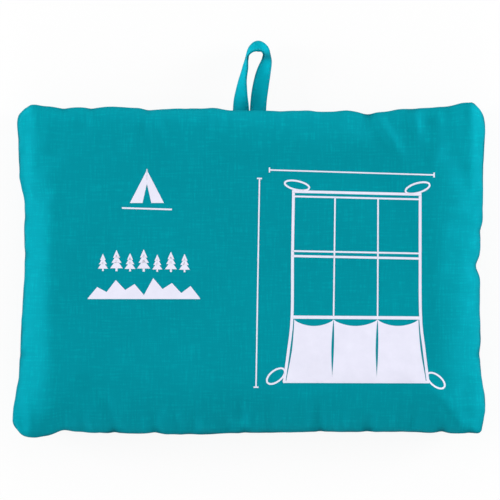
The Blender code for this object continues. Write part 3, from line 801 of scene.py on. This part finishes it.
def buildZipCoil(node, nylon, shift):
    low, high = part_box(node)
    middle = (low + high) / 2
    pitch = zipParts["coilPitch"]
    wire = zipParts["wire"] / 2
    turns = int((high.x - low.x - 2 * wire) / pitch - shift)
    steps = zipParts["turnSteps"]
    shape = bmesh.new()
    start = Vector((low.x + wire + shift * pitch, middle.y, high.z - wire))
    made = bmesh.ops.create_circle(shape, segments=zipParts["wireSides"], radius=wire,
                                   matrix=Matrix.Translation(start) @ Matrix.Rotation(quarterTurn, 4, "X"))
    rim = list({edge for vert in made["verts"] for edge in vert.link_edges})
    bmesh.ops.spin(shape, geom=made["verts"] + rim, cent=(start.x, middle.y, middle.z), axis=(1, 0, 0),
                   dvec=(pitch / steps, 0, 0), angle=math.tau * turns, steps=turns * steps)
    bmesh.ops.holes_fill(shape, edges=shape.edges)
    bmesh.ops.recalc_face_normals(shape, faces=shape.faces)
    coil = addPiece(pieceName(node), shape, nylon)
    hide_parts(node)


def buildZip(tapeCloth, nylon, metal):
    buildZipTape("zip_tape_upper", tapeCloth)
    buildZipTape("zip_tape_lower", tapeCloth)
    buildZipCoil("zip_coil_upper", nylon, 0)
    buildZipCoil("zip_coil_lower", nylon, 0.5)  # half a turn on, so that the two rows mesh
    for node, body in (("zip_top_stop_upper", "pouch"), ("zip_top_stop_lower", "pouch"),
                       ("zip_bottom_stop", "pouch"), ("zip_slider", "slider"), ("zip_pull_tab", "pull")):
        castPiece(node, body, metal)
    print("zip made")


def roundedCopy(node, sharp, offset):
    # the CAD piece's own shape, with its sharp outer edges rounded
    shape = bmesh.new()
    shape.from_mesh(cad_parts[node].data)
    bmesh.ops.remove_doubles(shape, verts=shape.verts, dist=0.001 * mm)
    bmesh.ops.dissolve_limit(shape, angle_limit=math.radians(1), verts=shape.verts, edges=shape.edges)
    cut = [edge for edge in shape.edges if edge.is_convex and edge.calc_face_angle() > sharp]
    bmesh.ops.bevel(shape, geom=cut, offset=offset, segments=2, profile=0.5, affect="EDGES",
                    material=-1, clamp_overlap=True)
    bmesh.ops.triangulate(shape, faces=shape.faces)
    return shape


def castPiece(node, body, metal):
    shape = roundedCopy(node, zipParts["castSharp"], zipParts["castEdge"])
    piece = addPiece(pieceName(node), shape, metal, body)
    piece.data.set_sharp_from_angle(angle=zipParts["castSharp"])
    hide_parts(node)


# the organizer sheet, folded inside the pouch: flat width and length in mm, then its finish

organizer = {
    "sheet_backing": ((600, 900), "sheet", (
        "side_binding_left", "side_binding_right", "bottom_binding", "sheet_top_band", "corner_loop_top_left",
        "corner_loop_top_right", "corner_loop_bottom_left", "corner_loop_bottom_right")),
    "upper_pocket_cloth": ((576, 246), "pocket", ("upper_pocket_hem", "upper_pocket_foot_tape")),
    "middle_pocket_cloth": ((576, 278), "pocket", ("middle_pocket_hem", "middle_pocket_foot_tape")),
    "lower_pocket_left": ((187, 226), "pocket", ("lower_pocket_hem_left",)),
    "lower_pocket_centre": ((187, 226), "pocket", ("lower_pocket_hem_centre",)),
    "lower_pocket_right": ((187, 226), "pocket", ("lower_pocket_hem_right",)),
}

# the packet: its cut edges, then how far its layers swell and ripple together
packet = {
    "edge": 0.16 * mm,
    "sharp": math.radians(60),
    "cell": 12 * mm,
    "halfLength": 150 * mm,
    "halfHeight": 100 * mm,
    "swell": 0.1,
    "ripple": 0.05,
    "pitch": 62 * mm,
}


def packetRise(x, y, z):
    # every layer moves in step with those under it, so none runs through another
    middle = max(0, 1 - (x / packet["halfLength"]) ** 2) * max(0, 1 - (y / packet["halfHeight"]) ** 2)
    uneven = noise.noise(Vector((x, y, 0)) / packet["pitch"])
    return z * (packet["swell"] * middle + packet["ripple"] * uneven * math.sqrt(middle))


def softLayer(node, material):
    shape = roundedCopy(node, packet["sharp"], packet["edge"])
    low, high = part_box(node)
    for axis, across in ((0, Vector((1, 0, 0))), (1, Vector((0, 1, 0)))):
        step = math.ceil(low[axis] / packet["cell"])
        while step * packet["cell"] < high[axis]:
            bmesh.ops.bisect_plane(shape, geom=[*shape.verts, *shape.edges, *shape.faces],
                                   plane_co=across * step * packet["cell"], plane_no=across)
            step += 1
    for vert in shape.verts:
        vert.co.z += packetRise(*vert.co)
    layer = addPiece(pieceName(node) + "Folded", shape, material)
    layer.data.set_sharp_from_angle(angle=packet["sharp"])
    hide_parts(node)
    return layer


def buildOrganizer(finishes, trim):
    for node, (flat, finish, trims) in organizer.items():
        sheet = softLayer(node, finishes[finish])
        for part in trims:
            softLayer(part, trim)
    print("organizer sheet dressed")


# the print: flat white ink, drawn in the photograph's pixels and dropped onto the cloth

ink = {"cell": 1.6 * mm, "lift": 0.12 * mm, "thickness": 0.1 * mm, "sharp": math.radians(40)}
inkCell = ink["cell"] / photo["metresPerPixel"]
aboveCloth = 0.2  # metres, the height from which the print is dropped


def linePoint(points, share):
    place = share * (len(points) - 1)
    index = min(int(place), len(points) - 2)
    return Vector(points[index]).lerp(Vector(points[index + 1]), place - index)


def addPatch(shape, lower, upper, columns=None, rows=None, dip=0):
    # a piece of ink between two drawn lines, its start side hollowed by the dip
    width = max((linePoint(line, 1) - linePoint(line, 0)).length for line in (lower, upper))
    height = max((linePoint(upper, s) - linePoint(lower, s)).length for s in (0, 0.5, 1))
    made = bmesh.ops.create_grid(shape, x_segments=columns or max(1, round(width / inkCell)),
                                 y_segments=rows or max(1, round(height / inkCell)), size=1)
    for vert in made["verts"]:
        along = (vert.co.x + 1) / 2
        up = (vert.co.y + 1) / 2
        px, py = linePoint(lower, along).lerp(linePoint(upper, along), up)
        py += dip * math.sin(math.pi * up) ** 0.7 * (1 - along) ** 2
        vert.co = (*photoPlace(px, py, crownLevel), 0)


def addStroke(shape, points, width, smooth=False):
    reach = sum((Vector(b) - Vector(a)).length for a, b in zip(points, points[1:]))
    count = max(2, round(reach / inkCell))
    pick = curvePoint if smooth else linePoint
    middle = [pick(points, step / count) for step in range(count + 1)]
    lower = []
    upper = []
    for index, point in enumerate(middle):
        ahead = middle[min(index + 1, count)] - middle[max(index - 1, 0)]
        out = Vector((-ahead.y, ahead.x)).normalized() * width / 2
        lower.append(point - out)
        upper.append(point + out)
    addPatch(shape, lower, upper, columns=count, rows=1)


def addRing(shape, middle, radii, turn, width, steps=24):
    # an open eyelet of cord, drawn as one stroke that comes back to its start
    points = []
    for step in range(steps + 1):
        angle = math.tau * step / steps
        point = Vector((radii[0] * math.cos(angle), radii[1] * math.sin(angle)))
        point.rotate(Matrix.Rotation(math.radians(turn), 2))
        points.append(tuple(Vector(middle) + point))
    addStroke(shape, points, width, smooth=True)


def drawTent(shape, left, right, top, foot):
    # a ridge tent seen from its end, the door left open and its pole standing out above
    middle = (left + right) / 2
    door = (right - left) * 0.13
    brow = top + (foot - top) * 0.38
    pole = [(middle - 0.5, top - 3), (middle + 0.5, top - 3)]
    addPatch(shape, [(left, foot), (middle - door, foot)], [(middle - 1, top), (middle, brow)])
    addPatch(shape, [(middle + door, foot), (right, foot)], [(middle, brow), (middle + 1, top)])
    addPatch(shape, [(middle - 1, top + 0.5), (middle, brow)], pole)
    addPatch(shape, [(middle, brow), (middle + 1, top + 0.5)], pole)


def drawPine(shape, middle, foot, height):
    # three tiers on a trunk, each from how low to how high and how wide
    half = height * 0.3
    for low, high, wide in ((0.14, 0.55, 1.0), (0.4, 0.78, 0.78), (0.64, 1.0, 0.55)):
        reach = half * wide
        addPatch(shape, [(middle - reach, foot - low * height), (middle + reach, foot - low * height)],
                 [(middle - 0.2, foot - high * height), (middle + 0.2, foot - high * height)])
    addStroke(shape, [(middle, foot), (middle, foot - 0.16 * height)], height * 0.1)


def drawRidges(shape, left, right, foot, heights):
    step = (right - left) / (len(heights) - 1)
    line = [(left + step * index, foot - height) for index, height in enumerate(heights)]
    base = [(left + step * index, foot) for index in range(len(heights))]
    addPatch(shape, base, line, columns=4 * (len(heights) - 1))


# the filled pockets, in pixels: their top, how far they keep off the outline, the pleats, the sag
drawnPocket = {"top": 319.4, "inset": 2.2, "pleat": 1.3, "pleatEnd": 0.88, "sag": 6.5,
               "columns": 30, "rows": 22}


def drawOrganizer(shape):
    # the open organizer as a plain line drawing: three columns, three rows, a loop at each corner
    left = [(293.5, 192), (292.5, 255), (292, 316), (288.5, 350), (284, 382)]
    right = [(420, 196), (420, 258), (420.5, 317), (424, 350), (428, 382)]
    addStroke(shape, left, 2.8, smooth=True)
    addStroke(shape, right, 2.8, smooth=True)
    for low, high, width in (((292, 191.5), (421.4, 194.5), 2.6), ((293, 196.4), (421, 199.4), 1.7),
                             ((292, 251), (421, 253.5), 1.7), ((292, 256), (421, 258.6), 2.2),
                             ((291, 317), (422, 318), 3.2), ((283, 381.6), (429, 382), 2.4)):
        addStroke(shape, [low, high], width)
    for top, foot in (((335, 197), (333.5, 317)), ((378, 198), (377.5, 317))):
        addStroke(shape, [top, foot], 1.5)
    edges = [(left, drawnPocket["inset"]), ([(333.5, 318), (332.5, 350), (332, 382)], 0),
             ([(377.5, 318), (376.8, 350), (376.6, 382)], 0), (right, -drawnPocket["inset"])]
    drops = [step / 12 for step in range(13)]
    for (start, startShift), (end, endShift) in zip(edges, edges[1:]):
        # each pocket front, with a narrow pleat open at both its sides
        startSide = []
        endSide = []
        for drop in drops:
            pleat = drawnPocket["pleat"] * math.sin(math.pi * min(1, drop / drawnPocket["pleatEnd"])) ** 0.8
            share = 0.5 + drop / 2 if len(start) == 5 else drop
            startSide.append(linePoint(start, share) + Vector((startShift + pleat, 0)))
            share = 0.5 + drop / 2 if len(end) == 5 else drop
            endSide.append(linePoint(end, share) + Vector((endShift - pleat, 0)))
        startSide[0].y = endSide[0].y = drawnPocket["top"]
        addPatch(shape, startSide, endSide, columns=drawnPocket["columns"], rows=drawnPocket["rows"],
                 dip=drawnPocket["sag"])
    for middle, radii, turn in (((297, 185.5), (12.5, 4.4), 12), ((417.5, 188), (12.5, 4.8), -16),
                                ((275.8, 376), (10.6, 5.6), -38), ((436, 380.6), (10.6, 5.4), 40)):
        addRing(shape, middle, radii, turn, 1.8)


def drawDimensions(shape):
    for points in ([(269.5, 170), (434, 175)], [(269.5, 167.5), (269.5, 172.5)], [(434, 172.5), (434, 177.5)],
                   [(259.5, 178.5), (256, 387)], [(257, 178.5), (262, 178.5)], [(253.5, 387), (258.5, 387)]):
        addStroke(shape, points, 1.4)


def buildPrint(front, whiteInk):
    shape = bmesh.new()
    drawTent(shape, 130, 164, 172, 203)
    addStroke(shape, [(122, 208), (172, 209.5)], 1.6)
    for number, height in enumerate((17, 21, 18, 22, 17, 20, 18)):
        drawPine(shape, 103 + number * 13.6, 271 + number * 0.2, height)
    drawRidges(shape, 88, 200, 299, (1, 12, 7, 19, 9, 15, 4, 21, 10, 16, 6, 13, 1))
    drawOrganizer(shape)
    drawDimensions(shape)
    surface = BVHTree.FromObject(front, bpy.context.evaluated_depsgraph_get())
    for vert in shape.verts:
        above = Vector((vert.co.x, vert.co.y, aboveCloth))
        hit, normal, _, _ = surface.ray_cast(above, Vector((0, 0, -1)))
        vert.co = hit + normal * ink["lift"]
    shape.normal_update()
    bmesh.ops.reverse_faces(shape, faces=[face for face in shape.faces if face.normal.z < 0])
    shape.normal_update()
    bmesh.ops.solidify(shape, geom=shape.faces, thickness=ink["thickness"])
    piece = addPiece("whitePrint", shape, whiteInk)
    piece.data.set_sharp_from_angle(angle=ink["sharp"])
    print("print laid on the cloth")


# floor and light

studio = {
    "floorColour": "#F4F4F4",
    "floorSize": 6.0,
    "floorGlow": 0.9,
    "shadowReach": (0.2, 0.5),
    "worldStrength": 0.51,
    # low lamps to the right, left, top and foot, so that every slope of the cloth shows
    "lamps": {"rightLamp": ((1.85, 0.45, 0.46), 0.75, 37), "leftLamp": ((-1.85, 0.25, 0.46), 0.75, 34),
              "topLamp": ((0.1, 1.85, 0.5), 0.8, 9), "footLamp": ((0.0, -1.85, 0.6), 0.8, 11)},
}


def seenRays(tree):
    # 1 for the rays that see the backdrop: from the camera, off metal, or through glass
    rays = addNode(tree, "ShaderNodeLightPath")
    seen = rays.outputs["Is Camera Ray"]
    for kind in ("Is Glossy Ray", "Is Transmission Ray"):
        either = addNode(tree, "ShaderNodeMath", {"operation": "MAXIMUM"}, {0: seen, 1: rays.outputs[kind]})
        seen = either.outputs[0]
    return seen


def buildStudio():
    shape = bmesh.new()
    bmesh.ops.create_grid(shape, x_segments=1, y_segments=1, size=studio["floorSize"] / 2)
    material, tree, shader = newMaterial("paintedPaper")
    floor = addPiece("studioFloor", shape, material, None)

    feed(tree, shader, {"Base Color": linearColour(studio["floorColour"]), "Roughness": 1.0})
    glow = addNode(tree, "ShaderNodeEmission", None, {"Color": (1, 1, 1, 1), "Strength": 1.0})
    # near the pouch the paper takes its shadow, further out it is the white of the backdrop
    place = addNode(tree, "ShaderNodeTexCoord").outputs["Object"]
    away = addNode(tree, "ShaderNodeVectorMath", {"operation": "LENGTH"}, {0: place})
    near = addNode(tree, "ShaderNodeMapRange", {"interpolation_type": "SMOOTHSTEP"},
                   {"Value": away.outputs["Value"], "From Min": studio["shadowReach"][0],
                    "From Max": studio["shadowReach"][1], "To Min": studio["floorGlow"], "To Max": 1.0})
    share = addNode(tree, "ShaderNodeMath", {"operation": "MULTIPLY"},
                    {0: seenRays(tree), 1: near.outputs[0]})
    mix = addNode(tree, "ShaderNodeMixShader", None,
                  {0: share.outputs[0], 1: shader.outputs[0], 2: glow.outputs[0]})
    feed(tree, tree.nodes["Material Output"], {"Surface": mix.outputs[0]})

    world = bpy.data.worlds.new("studioWorld")
    bpy.context.scene.world = world
    world.use_nodes = True
    tree = world.node_tree
    background = tree.nodes["Background"]
    feed(tree, background, {"Color": (1, 1, 1, 1), "Strength": studio["worldStrength"]})
    white = addNode(tree, "ShaderNodeBackground", None, {"Color": (1, 1, 1, 1), "Strength": 1.0})
    mix = addNode(tree, "ShaderNodeMixShader", None,
                  {0: seenRays(tree), 1: background.outputs[0], 2: white.outputs[0]})
    feed(tree, tree.nodes["World Output"], {"Surface": mix.outputs[0]})

    for name, (place, size, power) in studio["lamps"].items():
        addLamp(name, place, size, power)


def addLamp(name, place, size, power):
    data = bpy.data.lights.new(name, "AREA")
    data.shape = "SQUARE"
    data.size = size
    data.energy = power
    lamp = addObject(name, data)
    lamp.location = place
    lamp.rotation_euler = Vector(place).to_track_quat("Z", "Y").to_euler()


def main():
    makeCamera()
    buildStudio()
    bpy.context.scene.view_settings.view_transform = "Standard"
    front = buildPouch(wovenCloth("plainWovenPolyester", pouchWeave))
    thread = objectWeave("twistedSewingThread", sewingThread)
    buildLoop(wovenCloth("lightenedLoopPolyester", lightenedLoopWeave), thread)
    buildZip(wovenCloth("wovenZipTape", zipWeave), extrudedNylon(nylon), castZinc(zinc))
    finishes = {"sheet": objectWeave("wovenBackingCloth", backingWeave),
                "pocket": objectWeave("wovenPocketCloth", pocketWeave)}
    buildOrganizer(finishes, objectWeave("wovenBindingTape", bindingWeave))
    buildPrint(front, objectWeave("screenPrintedInk", screenInk))


main()
